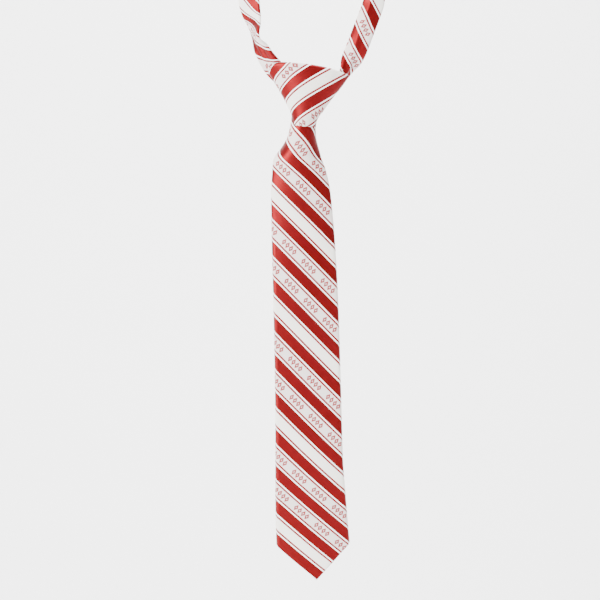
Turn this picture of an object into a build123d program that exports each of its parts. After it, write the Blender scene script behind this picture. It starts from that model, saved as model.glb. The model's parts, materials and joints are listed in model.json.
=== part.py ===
from build123d import *

import os
from math import cos, radians, sin, sqrt

# A narrow woven necktie tied in a four-in-hand knot, hanging by its neck loop. Millimetres.
# +Z is up, -Y is the front that people see, +X is the viewer's right. The origin is the inner
# top of the neck loop, where a hook, a hanger arm or the back of the neck carries the tie.

os.makedirs("parts", exist_ok=True)

# Cloth and its layers
cloth = 0.5                 # woven cloth, one layer
wadding = 1.2               # brushed interlining, one layer
lining = 0.4                # tipping cloth behind a point
ease = 0.2                  # between the layers of one piece
running = 0.4               # between pieces that slide or swing past each other
stitch = 0.4                # height of a stitch above the cloth
panel = 2 * cloth + wadding + lining + 3 * ease      # a blade, front to back
band_depth = 2 * cloth + wadding + 2 * ease          # the neck band has no lining

# Neck loop
band_width = 19.5
loop_radius = 55.0          # inside the arch
arch_reach = 65.0           # degrees of arch on each side of the top

# Knot
knot_top = -130.0           # at the middle of its sloping top edge
knot_slope = 10.6           # degrees that the top edge falls to the viewer's right
mouth_z = -178.6            # lip of the knot, where the blade comes out
mouth_x = -6.6
mouth_width = 19.4
mouth_depth = 16.0
knot_width = 70.0           # along the top edge
knot_depth = 26.0

# Front blade
blade_x = -10.0             # middle line of the blade, level with the lip
blade_lean = 1.8            # degrees, the point hangs a little to the viewer's right
blade_length = 394.0        # from the lip of the knot to the point
blade_width = 63.5          # across the corners of the point
blade_waist = 56.5          # across its long middle part
blade_flare = 70.0          # length over which the cloth opens out from the mouth
point_depth = 30.0
hinge_drop = 3.9            # the blade bends this far below the lip
hinge_room = 3.5            # clear cloth below the bend

# Narrow end, which hangs behind the front blade
tail_tip = 258.0            # below the lip, at rest
tail_top = 110.0            # below the lip, where the sliding part starts
throat_break = 45.0         # below the lip, where the stretching part starts
tail_width = 38.0           # across the corners of its point
tail_top_width = 24.0
throat_width = 14.0
tail_point_depth = 19.0

# Keeper loop, label and care tag on the back of the front blade
keeper_at = 200.0           # below the lip, middle of the loop
keeper_height = 14.0
keeper_wall = 0.8
keeper_room = 2.0           # beside the tail on each side
label_height = 26.0
label_width = 40.0
label_at = 168.0
tag_size = 24.0
tag_width = 20.0

# Openings in the backs of the two points
window_rise = 70.0          # from the front blade's tip up to the bar tack
tag_above_window = 7.0
tag_at = blade_length - window_rise - tag_above_window
tail_window_rise = 46.0
hem = 8.0                   # width of cloth turned in at a point
slit = 0.6                  # centre seam gap between the two folded edges
seam_pitch = 12.0

half_panel = panel / 2
tail_gap = stitch + running
tail_depth = half_panel + tail_gap + half_panel      # middle of the tail, behind the blade's
keeper_inside = tail_depth + half_panel + stitch + running
keeper_width = tail_width + 2 * keeper_room

lean = radians(blade_lean)
blade_plane = Plane(
    origin=(blade_x, 0, mouth_z),
    x_dir=(cos(lean), 0, sin(lean)),
    z_dir=(0, -1, 0),
)
tail_plane = blade_plane.offset(-tail_depth)


def save(piece, name):
    """Label a finished piece and write it as its own file."""
    piece.part.label = name
    export_step(piece.part, f"parts/{name}.step")


# ---------------------------------------------------------------- blades


def point_outline(top_width, waist, width, top, flare, tip, point, inset):
    """Outline of a blade with a square point, seen from the front; distances are below the lip."""
    half = width / 2
    slope = point / half
    run = sqrt(1 + slope * slope)
    corner = tip - point - inset * (run - slope)
    with BuildSketch() as outline:
        with BuildLine():
            right = Spline(
                (top_width / 2 - inset, -top),
                (waist / 2 - inset, -top - flare),
                tangents=((0.45, -1), (0.02, -1)),
            )
            side = Line(right @ 1, (half - inset, -corner))
            Line(side @ 1, (0, -tip + inset * run))
            mirror(about=Plane.YZ)
            Line((-top_width / 2 + inset, -top), (top_width / 2 - inset, -top))
        make_face()
    return outline.sketch


def window_outline(width, tip, point, rise):
    """The gap between the turned edges behind a point, from the bar tack down to the hem."""
    half = width / 2
    slope = point / half
    low = tip - hem * sqrt(1 + slope * slope)
    side = half - hem
    with BuildSketch() as outline:
        with BuildLine():
            Polyline(
                (0, -tip + rise),
                (side, -low + slope * side),
                (0, -low),
                (-side, -low + slope * side),
                close=True,
            )
        make_face()
    return outline.sketch


def tapered_outline(top, bottom, top_width, bottom_width, inset):
    """A plain stretch of the strip, between two distances below the lip."""
    with BuildSketch() as outline:
        with BuildLine():
            Polyline(
                (top_width / 2 - inset, -top),
                (bottom_width / 2 - inset, -bottom),
                (inset - bottom_width / 2, -bottom),
                (inset - top_width / 2, -top),
                close=True,
            )
        make_face()
    return outline.sketch


def slab(plane, outline, back, depth):
    """Solid of an outline, its back face at `back` in front of the plane, `depth` thick."""
    with BuildPart() as piece:
        with BuildSketch(plane.offset(back)):
            add(outline)
        extrude(amount=depth)
    return piece.part


def seam_stitches(plane, start, end, height):
    """A row of short thread bars across the centre seam, on the back of a blade."""
    count = int((end - start) / seam_pitch)
    spots = [(0, -start - seam_pitch * (row + 0.5)) for row in range(count)]
    with BuildPart() as thread:
        with BuildSketch(plane.offset(-half_panel)):
            with Locations(*spots):
                Rectangle(3 * slit, slit)
        extrude(amount=-height)
    return thread.part


def blade_layer(inset, back, depth, top=hinge_drop + hinge_room):
    """One layer of the front blade."""
    shape = point_outline(
        mouth_width, blade_waist, blade_width, top, blade_flare, blade_length, point_depth, inset
    )
    return slab(blade_plane, shape, back, depth)


def tail_layer(inset, back, depth):
    """One layer of the narrow end's sliding part."""
    waist = (tail_top_width + tail_width) / 2
    flare = (tail_tip - tail_top) / 2
    shape = point_outline(
        tail_top_width, waist, tail_width, tail_top, flare, tail_tip, tail_point_depth, inset
    )
    return slab(tail_plane, shape, back, depth)


def cloth_box(inside, plane, tip, rise, window, top):
    """Cut for a folded shell: its room, the centre seam and the gap behind the point."""
    seam_end = tip - rise + 2 * slit
    with BuildPart() as cut:
        add(inside)
        with BuildSketch(plane.offset(-half_panel)):
            with Locations((0, -(top + seam_end) / 2)):
                Rectangle(slit, seam_end - top)
            add(window)
        extrude(amount=2 * cloth)
    return cut.part


room = panel - 2 * cloth
interlining_back = -half_panel + cloth + 2 * ease + lining
blade_top = hinge_drop + hinge_room

with BuildPart() as front_blade_shell:
    add(blade_layer(0, -half_panel, panel))
    blade_window = window_outline(blade_width, blade_length, point_depth, window_rise)
    blade_room = blade_layer(cloth, cloth - half_panel, room)
    add(
        cloth_box(blade_room, blade_plane, blade_length, window_rise, blade_window, blade_top),
        mode=Mode.SUBTRACT,
    )
save(front_blade_shell, "front_blade_shell")

with BuildPart() as front_blade_interlining:
    add(blade_layer(cloth + ease, interlining_back, wadding))
save(front_blade_interlining, "front_blade_interlining")

# The tipping lines the point, up to a little above the bar tack
with BuildPart() as front_blade_tipping:
    add(blade_layer(cloth + ease, -half_panel + cloth + ease, lining))
    with BuildSketch(blade_plane.offset(-half_panel)):
        with Locations((0, -(blade_length - window_rise - 2 * hem) / 2)):
            Rectangle(blade_width * 2, blade_length - window_rise - 2 * hem)
    extrude(amount=panel, mode=Mode.SUBTRACT)
save(front_blade_tipping, "front_blade_tipping")

with BuildPart() as front_blade_slip_stitches:
    add(seam_stitches(blade_plane, blade_top, label_at - label_height, stitch))
    add(seam_stitches(blade_plane, keeper_at + keeper_height, blade_length - window_rise - 4, stitch))
save(front_blade_slip_stitches, "front_blade_slip_stitches")

with BuildPart() as front_blade_bar_tack:
    with BuildSketch(blade_plane.offset(-half_panel)):
        with Locations((0, window_rise - blade_length + 2)):
            with GridLocations(0, 1.1, 1, 3):
                Rectangle(9, 0.7)
    extrude(amount=-stitch)
save(front_blade_bar_tack, "front_blade_bar_tack")

with BuildPart() as tail_shell:
    add(tail_layer(0, -half_panel, panel))
    tail_window = window_outline(tail_width, tail_tip, tail_point_depth, tail_window_rise)
    tail_room = tail_layer(cloth, cloth - half_panel, room)
    add(
        cloth_box(tail_room, tail_plane, tail_tip, tail_window_rise, tail_window, tail_top),
        mode=Mode.SUBTRACT,
    )
save(tail_shell, "tail_shell")

with BuildPart() as tail_interlining:
    add(tail_layer(cloth + ease, interlining_back, wadding))
save(tail_interlining, "tail_interlining")

with BuildPart() as tail_tipping:
    add(tail_layer(cloth + ease, -half_panel + cloth + ease, lining))
    with BuildSketch(tail_plane.offset(-half_panel)):
        with Locations((0, -(tail_tip - tail_window_rise - hem) / 2)):
            Rectangle(tail_width * 2, tail_tip - tail_window_rise - hem)
    extrude(amount=panel, mode=Mode.SUBTRACT)
save(tail_tipping, "tail_tipping")

with BuildPart() as tail_slip_stitches:
    add(seam_stitches(tail_plane, tail_top, tail_tip - tail_window_rise - 3, stitch))
save(tail_slip_stitches, "tail_slip_stitches")

with BuildPart() as tail_bar_tack:
    with BuildSketch(tail_plane.offset(-half_panel)):
        with Locations((0, tail_window_rise - tail_tip + 2)):
            with GridLocations(0, 1.1, 1, 3):
                Rectangle(6, 0.7)
    extrude(amount=-stitch)
save(tail_bar_tack, "tail_bar_tack")

# The narrow end between the lip and the sliding part: its upper stretch stays at the knot, and
# its lower stretch takes up the slide
throat_end_width = throat_width + (tail_top_width - throat_width) * throat_break / tail_top
throat_spans = {
    "upper": (blade_top, throat_break, throat_width, throat_end_width),
    "lower": (throat_break + ease, tail_top - ease, throat_end_width, tail_top_width),
}
for place, (top, bottom, top_width, bottom_width) in throat_spans.items():
    with BuildPart() as throat_shell:
        whole = tapered_outline(top, bottom, top_width, bottom_width, 0)
        inner = tapered_outline(top, bottom, top_width, bottom_width, cloth)
        add(slab(tail_plane, whole, -half_panel, panel))
        add(slab(tail_plane, inner, cloth - half_panel, room), mode=Mode.SUBTRACT)
    save(throat_shell, f"tail_throat_{place}_shell")
    with BuildPart() as throat_interlining:
        core = tapered_outline(top, bottom, top_width, bottom_width, cloth + ease)
        add(slab(tail_plane, core, interlining_back, wadding))
    save(throat_interlining, f"tail_throat_{place}_interlining")

# ---------------------------------------------------------------- keeper, label, tag

with BuildPart() as keeper_loop:
    with BuildSketch(blade_plane.offset(-half_panel)):
        with Locations((0, -keeper_at)):
            Rectangle(keeper_width + 2 * keeper_wall, keeper_height)
    extrude(amount=half_panel - keeper_inside - keeper_wall)
    with BuildSketch(blade_plane.offset(-half_panel)):
        with Locations((0, -keeper_at)):
            Rectangle(keeper_width, keeper_height)
    extrude(amount=half_panel - keeper_inside, mode=Mode.SUBTRACT)
save(keeper_loop, "keeper_loop")

keeper_foot = keeper_width / 2 + keeper_wall + 0.9
with BuildPart() as keeper_stitches:
    with BuildSketch(blade_plane.offset(-half_panel)):
        with Locations((0, -keeper_at)):
            with GridLocations(2 * keeper_foot, keeper_height / 6, 2, 6):
                Rectangle(1.4, 0.7)
    extrude(amount=-stitch)
save(keeper_stitches, "keeper_stitches")

label_depth = 0.3
with BuildPart() as maker_label:
    with BuildSketch(blade_plane.offset(-half_panel)):
        with Locations((0, -label_at)):
            Rectangle(label_width, label_height)
    extrude(amount=-label_depth)
save(maker_label, "maker_label")

with BuildPart() as label_stitches:
    with BuildSketch(blade_plane.offset(-half_panel - label_depth)):
        with Locations((0, -label_at)):
            with GridLocations(label_width / 10, label_height - 2, 10, 2):
                Rectangle(2.2, 0.5)
    extrude(amount=-(stitch - label_depth))
save(label_stitches, "label_stitches")

tag_back = half_panel + tail_gap
tag_depth = 0.4
with BuildPart() as care_tag:
    with BuildSketch(blade_plane.offset(-tag_back)):
        with Locations((0, -tag_at - tag_size / 2)):
            Rectangle(tag_width, tag_size)
    extrude(amount=-tag_depth)
save(care_tag, "care_tag")

with BuildPart() as care_tag_stitches:
    with BuildSketch(blade_plane.offset(-half_panel)):
        with Locations((0, -tag_at + 1.4)):
            with GridLocations(tag_width / 6, 0, 6, 1):
                Rectangle(2, 0.7)
    extrude(amount=-stitch)
save(care_tag_stitches, "care_tag_stitches")

# ---------------------------------------------------------------- knot

# Each section of the wrapped knot: middle x, height, half width, half depth
knot_sections = (
    (mouth_x, mouth_z, mouth_width / 2, mouth_depth / 2),
    (mouth_x + 2.0, mouth_z + 11.6, mouth_width * 0.72, mouth_depth * 0.6),
    (mouth_x + 3.8, mouth_z + 27.6, knot_width * 0.343, knot_depth * 0.46),
)
knot_top_plane = Plane(
    origin=(mouth_x + 4.2, 0, knot_top),
    x_dir=(cos(radians(knot_slope)), 0, -sin(radians(knot_slope))),
    z_dir=(sin(radians(knot_slope)), 0, cos(radians(knot_slope))),
)


def knot_form(inset):
    """The wrapped cone of the knot, drawn in from its outside by `inset`."""
    with BuildPart() as form:
        for middle, height, half_width, half_depth in knot_sections:
            with BuildSketch(Plane.XY.offset(height)):
                with Locations((middle, 0)):
                    Ellipse(half_width - inset, half_depth - inset)
        with BuildSketch(knot_top_plane):
            Ellipse(knot_width / 2 - inset, knot_depth / 2 - inset)
        loft()
    return form.part


def knot_half(outer_inset, thickness, front):
    """Half of one layer of the wrap, before or behind the middle plane."""
    side = 1 if front else -1
    with BuildPart() as half:
        add(knot_form(outer_inset))
        add(knot_form(outer_inset + thickness), mode=Mode.SUBTRACT)
        split(bisect_by=Plane.XZ.offset(side * ease / 2), keep=Keep.TOP if front else Keep.BOTTOM)
    return half


lining_inset = cloth + ease
under_inset = lining_inset + wadding + running
save(knot_half(0, cloth, True), "knot_front_wrap")
save(knot_half(0, cloth, False), "knot_back_wrap")
save(knot_half(lining_inset, wadding, True), "knot_front_interlining")
save(knot_half(lining_inset, wadding, False), "knot_back_interlining")

under_drop = 1.0            # the under wrap shows this far below the lip
under_rise = 11.0
with BuildPart() as knot_under_wrap:
    add(knot_form(under_inset))
    add(knot_form(under_inset + cloth), mode=Mode.SUBTRACT)
    split(bisect_by=Plane.XY.offset(mouth_z + under_rise), keep=Keep.BOTTOM)
    with BuildSketch(Plane.XY.offset(mouth_z - under_drop)):
        with Locations((mouth_x, 0)):
            Ellipse(mouth_width / 2 - under_inset, mouth_depth / 2 - under_inset)
            Ellipse(
                mouth_width / 2 - under_inset - cloth,
                mouth_depth / 2 - under_inset - cloth,
                mode=Mode.SUBTRACT,
            )
    extrude(amount=under_drop)
save(knot_under_wrap, "knot_under_wrap")

# The riser goes up the back and over the top, and its outside stays just under the top edge
riser_outside = 8.5
riser_depth = 3.0
riser_width = 18.0
riser_z = knot_top - 1.5 - riser_outside
riser_leg = 6.0
with BuildPart() as knot_riser:
    with BuildSketch(Plane.YZ.offset(mouth_x + 4)):
        with BuildLine():
            outside = CenterArc((0, riser_z), riser_outside, 0, 180)
            inside = CenterArc((0, riser_z), riser_outside - riser_depth, 0, 180)
            Line(outside @ 1, inside @ 1)
            Polyline(
                outside @ 0,
                (riser_outside, riser_z - riser_leg),
                (riser_outside - riser_depth, riser_z - riser_leg),
                inside @ 0,
            )
        make_face()
    extrude(amount=riser_width / 2, both=True)
save(knot_riser, "knot_riser")

# Middle x, height, middle y and width of each strip in the knot, at its top, at the upper edge of
# the under wrap and at the lip; the under wrap's opening sets the two lower widths
strip_depth = 2.6
strip_side_room = 3.9       # beside a strip at the under wrap's upper edge
strip_foot_room = 3.4       # beside a strip at the lip
strip_neck_z = mouth_z + under_rise
strip_foot_z = mouth_z + 0.6
neck_half_width = knot_sections[1][2] - under_inset - cloth - strip_side_room
foot_half_width = knot_sections[0][2] - under_inset - cloth - strip_foot_room
knot_strips = {
    "knot_tunnel_pass": (
        (mouth_x + 4, riser_z - 2, -6.0, 36.0),
        (mouth_x + 1.2, strip_neck_z, -3.0, 2 * neck_half_width),
        (mouth_x, strip_foot_z, -1.7, 2 * foot_half_width),
    ),
    "knot_tail_core": (
        (mouth_x + 2, riser_z - 1, 3.4, 18.0),
        (mouth_x + 0.6, strip_neck_z, 2.2, (9.0 + foot_half_width) * 0.75),
        (mouth_x, strip_foot_z, 1.7, 2 * foot_half_width),
    ),
}
for name, ends in knot_strips.items():
    with BuildPart() as strip:
        for middle, height, depth, width in ends:
            with BuildSketch(Plane.XY.offset(height)):
                with Locations((middle, depth)):
                    Rectangle(width, strip_depth)
        loft(ruled=True)
    save(strip, name)

# ---------------------------------------------------------------- neck band

arch_middle = -loop_radius
band_middle = loop_radius + band_depth / 2
arch_axis = Axis((0, 0, arch_middle), (0, 1, 0))
arch_start = Plane(
    origin=(
        band_middle * sin(radians(arch_reach)),
        0,
        arch_middle + band_middle * cos(radians(arch_reach)),
    ),
    x_dir=(0, 1, 0),
    z_dir=(cos(radians(arch_reach)), 0, -sin(radians(arch_reach))),
)


def folded_profile(width, depth):
    """Section of the folded band: one strip of cloth round the interlining, open at the seam."""
    w, d, gap = width / 2, depth / 2, slit / 2
    with BuildSketch() as profile:
        with BuildLine():
            Polyline(
                (gap, -d), (w, -d), (w, d), (-w, d), (-w, -d), (-gap, -d),
                (-gap, cloth - d), (cloth - w, cloth - d), (cloth - w, d - cloth),
                (w - cloth, d - cloth), (w - cloth, cloth - d), (gap, cloth - d),
                close=True,
            )
        make_face()
    return profile.sketch


def core_profile(width, depth):
    """Section of the interlining inside the folded band."""
    with BuildSketch() as profile:
        Rectangle(width - 4 * cloth, depth - 2 * (cloth + ease))
    return profile.sketch


band_layers = {
    "shell": folded_profile(band_width, band_depth),
    "interlining": core_profile(band_width, band_depth),
}
for layer, profile in band_layers.items():
    with BuildPart() as arch:
        with BuildSketch(arch_start):
            add(profile)
        revolve(axis=arch_axis, revolution_arc=-2 * arch_reach)
    save(arch, f"neck_band_back_{layer}")

# Two bias joins cross the outside of the arch, and the centre seam is slip stitched inside it
join_at = 38.0
with BuildPart() as neck_band_join_seams:
    for side in (-1, 1):
        angle = radians(side * join_at)
        reach = loop_radius + band_depth
        spot = Plane(
            origin=(reach * sin(angle), 0, arch_middle + reach * cos(angle)),
            x_dir=(0, 1, 0),
            z_dir=(sin(angle), 0, cos(angle)),
        )
        with BuildSketch(spot):
            Rectangle(band_width - 1, 0.6)
        extrude(amount=0.3)
save(neck_band_join_seams, "neck_band_join_seams")

with BuildPart() as neck_band_slip_stitches:
    for step in range(-4, 5):
        if step == 0:
            continue
        angle = radians(step * 12)
        spot = Plane(
            origin=(loop_radius * sin(angle), 0, arch_middle + loop_radius * cos(angle)),
            x_dir=(0, 1, 0),
            z_dir=(-sin(angle), 0, -cos(angle)),
        )
        with BuildSketch(spot):
            Rectangle(2, 0.7)
        extrude(amount=stitch)
save(neck_band_slip_stitches, "neck_band_slip_stitches")

# The strands: points on the middle line from the arch down to just above the knot's open top,
# and the turn of the band's width away from the front view, evenly spaced along the way
strand_clearance = 1.0
strand_routes = {
    "left": {
        "points": ((-57.0, -50), (-54.9, -70.5), (-50.6, -89.5), (-47.5, -104)),
        "end": -31.0,
        "turns": (-90, -60, -32, -30, -48, -76, -60, -45, -38),
    },
    "right": {
        "points": ((57.0, -50), (53.6, -70.5), (44.2, -96.4), (37.6, -113.7)),
        "end": 25.5,
        "turns": (90, 60, 25, 12, 8, 8, 8, 8, 8),
    },
}


def strand(side, profile):
    """One layer of a strand, lofted through turned sections; the last one lies along the knot."""
    route = strand_routes[side]
    sign = -1 if side == "left" else 1
    away = Vector(sign * cos(radians(arch_reach)), 0, -sin(radians(arch_reach)))
    foot_plane = knot_top_plane.offset(strand_clearance)
    foot = foot_plane.from_local_coords((route["end"], 0, 0))
    points = [(sign * arch_start.origin.X, 0, arch_start.origin.Z)]
    points += [(x, 0, z) for x, z in route["points"]]
    points.append(foot)
    path = Spline(*points, tangents=(away, foot - Vector(*points[-2])))
    turns = route["turns"]
    last = len(turns) - 1
    with BuildPart() as band:
        for step, turn in enumerate(turns):
            along = path % (step / last)
            side_way = Vector(-along.Z, 0, along.X)
            if step == last:
                along = foot_plane.z_dir * -1
                side_way = foot_plane.x_dir
            across = side_way * cos(radians(turn)) + Vector(0, 1, 0) * sin(radians(turn))
            with BuildSketch(Plane(origin=path @ (step / last), x_dir=across, z_dir=along)):
                add(profile)
        loft(ruled=True)
    return band


for side in strand_routes:
    for layer, profile in band_layers.items():
        save(strand(side, profile), f"neck_band_{side}_{layer}")
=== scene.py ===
"""A slim striped necktie, tied in a four-in-hand, hanging by its neck loop."""
import json
from math import cos, exp, pi, radians, sin, sqrt

import bmesh
import bpy
from mathutils import Matrix, Vector


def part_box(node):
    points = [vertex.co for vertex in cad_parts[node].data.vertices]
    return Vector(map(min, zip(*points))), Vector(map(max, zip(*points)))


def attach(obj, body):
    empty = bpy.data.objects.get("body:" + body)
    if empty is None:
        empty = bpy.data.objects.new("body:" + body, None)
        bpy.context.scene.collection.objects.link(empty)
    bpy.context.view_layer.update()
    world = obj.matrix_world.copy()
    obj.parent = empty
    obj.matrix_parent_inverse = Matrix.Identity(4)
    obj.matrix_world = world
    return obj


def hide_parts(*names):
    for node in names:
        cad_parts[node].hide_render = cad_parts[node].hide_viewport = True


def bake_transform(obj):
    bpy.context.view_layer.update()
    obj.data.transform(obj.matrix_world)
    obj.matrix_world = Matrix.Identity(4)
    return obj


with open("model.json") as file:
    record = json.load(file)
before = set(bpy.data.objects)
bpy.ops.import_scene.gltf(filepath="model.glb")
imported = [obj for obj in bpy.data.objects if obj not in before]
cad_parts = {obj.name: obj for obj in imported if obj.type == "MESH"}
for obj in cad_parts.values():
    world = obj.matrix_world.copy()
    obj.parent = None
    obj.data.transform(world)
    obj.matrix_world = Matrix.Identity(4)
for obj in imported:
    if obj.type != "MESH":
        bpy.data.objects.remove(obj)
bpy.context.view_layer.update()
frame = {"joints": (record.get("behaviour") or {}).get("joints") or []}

MM = 0.001


def mm_box(node):
    """Lowest and highest corner of a CAD node, in millimetres."""
    low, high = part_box(node)
    return [c / MM for c in low], [c / MM for c in high]


# ---------------------------------------------------------------- places taken from the frame

joints = {joint["name"]: joint for joint in frame["joints"]}
DOWN = Vector(joints["tail_slide"]["axis"])
ACROSS = Vector((-DOWN.z, 0, DOWN.x))
FRONT = Vector((0, -1, 0))

tail_low, tail_high = mm_box("tail_shell")
arch_low, arch_high = mm_box("neck_band_back_shell")
keeper_low, keeper_high = mm_box("keeper_loop")
label_low, label_high = mm_box("maker_label")
tag_low, tag_high = mm_box("care_tag")

LIP_Z = mm_box("knot_front_wrap")[0][2]


def below_lip(z):
    """How far down the tie a height lies, in mm below the knot's lip."""
    return (LIP_Z - z) / -DOWN.z


BLADE_TIP = below_lip(mm_box("front_blade_shell")[0][2])
BLADE_MIDDLE = (label_low[0] + label_high[0]) / 2
LABEL_AT = below_lip((label_low[2] + label_high[2]) / 2)
LIP_MIDDLE = Vector((BLADE_MIDDLE - DOWN.x * LABEL_AT, 0, LIP_Z))
TAIL_BACK = (tail_low[1] + tail_high[1]) / 2
TAIL_TOP = below_lip(tail_high[2])
TAIL_TIP = below_lip(tail_low[2])
KEEPER_AT = below_lip((keeper_low[2] + keeper_high[2]) / 2)
TAG_AT = below_lip(tag_high[2])
THROAT_BREAK = below_lip(mm_box("tail_throat_upper_shell")[0][2])
BAND_DEPTH = 2.5
BAND_WIDTH = arch_high[1] - arch_low[1]
ARCH_MIDDLE = -55.0
ARCH_RADIUS = arch_high[2] - BAND_DEPTH / 2 - ARCH_MIDDLE

# ---------------------------------------------------------------- shapes

CLOTH_THICK = 0.45
SEAM_GAP = 0.15         # left open between the two edges of the centre seam


def through(stops, place):
    """Smooth values through listed stops, each (place, value, ...); level beyond the ends."""
    if place <= stops[0][0]:
        return list(stops[0][1:])
    if place >= stops[-1][0]:
        return list(stops[-1][1:])
    k = max(i for i in range(len(stops) - 1) if stops[i][0] <= place)
    here, there = stops[k], stops[k + 1]
    before, after = stops[max(k - 1, 0)], stops[min(k + 2, len(stops) - 1)]
    span = there[0] - here[0]
    t = (place - here[0]) / span
    found = []
    for c in range(1, len(here)):
        leave = (there[c] - before[c]) / (there[0] - before[0]) * span
        arrive = (after[c] - here[c]) / (after[0] - here[0]) * span
        found.append(
            (2 * t**3 - 3 * t**2 + 1) * here[c]
            + (t**3 - 2 * t**2 + t) * leave
            + (3 * t**2 - 2 * t**3) * there[c]
            + (t**3 - t**2) * arrive
        )
    return found


def fold_section(s, width, depth):
    """Point (aside, forward) at arc length s round a folded strip, from the middle of its front."""
    bend = depth / 2
    flat = width / 2 - bend
    a = abs(s)
    side = 1 if s >= 0 else -1
    if a <= flat:
        return side * a, bend
    if a <= flat + pi * bend:
        turn = (a - flat) / bend
        return side * (flat + bend * sin(turn)), bend * cos(turn)
    return side * (flat - (a - flat - pi * bend)), -bend


def girth(width, depth):
    """Arc length from the middle of the front round to the centre seam."""
    return 2 * (width / 2 - depth / 2) + pi * depth / 2


def round_fold(share, width, depth):
    """Arc length and section point at a share of the way round a folded strip, from -1 to 1."""
    s = share * (girth(width, depth) - SEAM_GAP)
    return (s, *fold_section(s, width, depth))


def curl(aside, forward, curve):
    """Rolls a section so that its edges turn to the back; curve is 1 / radius."""
    if abs(curve) < 1e-5:
        return aside, forward
    radius = 1 / curve
    return (radius + forward) * sin(aside * curve), (radius + forward) * cos(aside * curve) - radius


def object_from(name, bm):
    """A smooth object at the origin from a bmesh, which is freed."""
    for face in bm.faces:
        face.smooth = True
    mesh = bpy.data.meshes.new(name)
    bm.to_mesh(mesh)
    bm.free()
    piece = bpy.data.objects.new(name, mesh)
    bpy.context.scene.collection.objects.link(piece)
    return piece


def cloth_grid(name, columns, rows, place, thickness):
    """A cloth sheet: a grid whose corners go to place(across, along) -> (point, u, v), all in mm."""
    bm = bmesh.new()
    bmesh.ops.create_grid(bm, x_segments=columns, y_segments=rows, size=0.5)
    pattern = {}
    for vert in bm.verts:
        point, u, v = place(vert.co.x + 0.5, vert.co.y + 0.5)
        vert.co = Vector(point) * MM
        pattern[vert] = (u, v)
    layer = bm.loops.layers.uv.new("cloth")
    for face in bm.faces:
        for loop in face.loops:
            loop[layer].uv = pattern[loop.vert]
    piece = object_from(name, bm)
    wall = piece.modifiers.new("cloth", "SOLIDIFY")
    wall.thickness = thickness * MM
    wall.offset = 0
    return piece


def finish_piece(piece, material, body=None, nodes=()):
    """Gives a piece its material and slot, the body that it rides on and the nodes it stands for."""
    piece.data.materials.append(material)
    if body:
        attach(piece, body)
    if nodes:
        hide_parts(*nodes)


def stitches(name, spots, size, body, node):
    """Thread beads: each spot is (middle, direction, outward), in mm; size is (length, thick)."""
    half_long, half_thick = (side / 2 * MM for side in size)
    bm = bmesh.new()
    for middle, along, outward in spots:
        x = Vector(along).normalized()
        z = Vector(outward).normalized()
        turn = Matrix((x, z.cross(x), z)).transposed().to_4x4()
        bead = Matrix.Translation(Vector(middle) * MM) @ turn
        bead = bead @ Matrix.Diagonal((half_long, half_thick, half_thick, 1))
        bmesh.ops.create_uvsphere(bm, u_segments=8, v_segments=6, radius=1, matrix=bead)
    finish_piece(object_from(name, bm), THREAD, body, [node])


# ---------------------------------------------------------------- materials


def colour(code):
    """sRGB hex to linear RGBA."""
    parts = [int(code[i : i + 2], 16) / 255 for i in (1, 3, 5)]
    line = [c / 12.92 if c <= 0.04045 else ((c + 0.055) / 1.055) ** 2.4 for c in parts]
    return (*line, 1)


def add(tree, kind, inputs=None, **settings):
    """Adds a node; inputs maps a socket to a value, a node or another node's output."""
    made = tree.nodes.new(kind)
    for name, value in settings.items():
        setattr(made, name, value)
    for socket, value in (inputs or {}).items():
        if isinstance(value, bpy.types.Node):
            value = value.outputs[0]
        if isinstance(value, bpy.types.NodeSocket):
            tree.links.new(value, made.inputs[socket])
        else:
            made.inputs[socket].default_value = value
    return made


def new_material(name):
    """An empty node material and its tree."""
    material = bpy.data.materials.new(name)
    material.use_nodes = True
    material.node_tree.nodes.clear()
    return material, material.node_tree


# The stripe, in mm from the middle of a pale band
PITCH = 22.4            # to the middle of the next band
BAND_HALF = 4.0         # edge of the pale band, which carries the woven figures
THIN_LINE = 5.6         # outer edge of the thin red line
WHITE_LINE = 6.75       # outer edge of the white line, where the red satin starts
FIGURE_PITCH = 23.3     # between groups of figures along a band
LOZENGE_PITCH = 4.1
LOZENGE_HALF_WIDTH = 1.95
LOZENGE_HALF_HEIGHT = 3.2
THREAD_GRID = 1.3       # the real sett is about 0.3 and would not show, so it is drawn coarser
SATIN_RED = "#780005"
SATIN_SHADOW = "#4A0003"
LINE_RED = "#7A0008"
FIGURE_RED = "#8C000A"
LINE_WHITE = "#FFFFFF"
PLAIN_BAND = "#FCF9F1"
FIGURED_BAND = "#DFD2D0"
THREAD_SHADOW = "#B9A7A2"
SATIN_METALLIC = 0.75
SATIN_ROUGH = 0.47
PLAIN_ROUGH = 0.75


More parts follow.
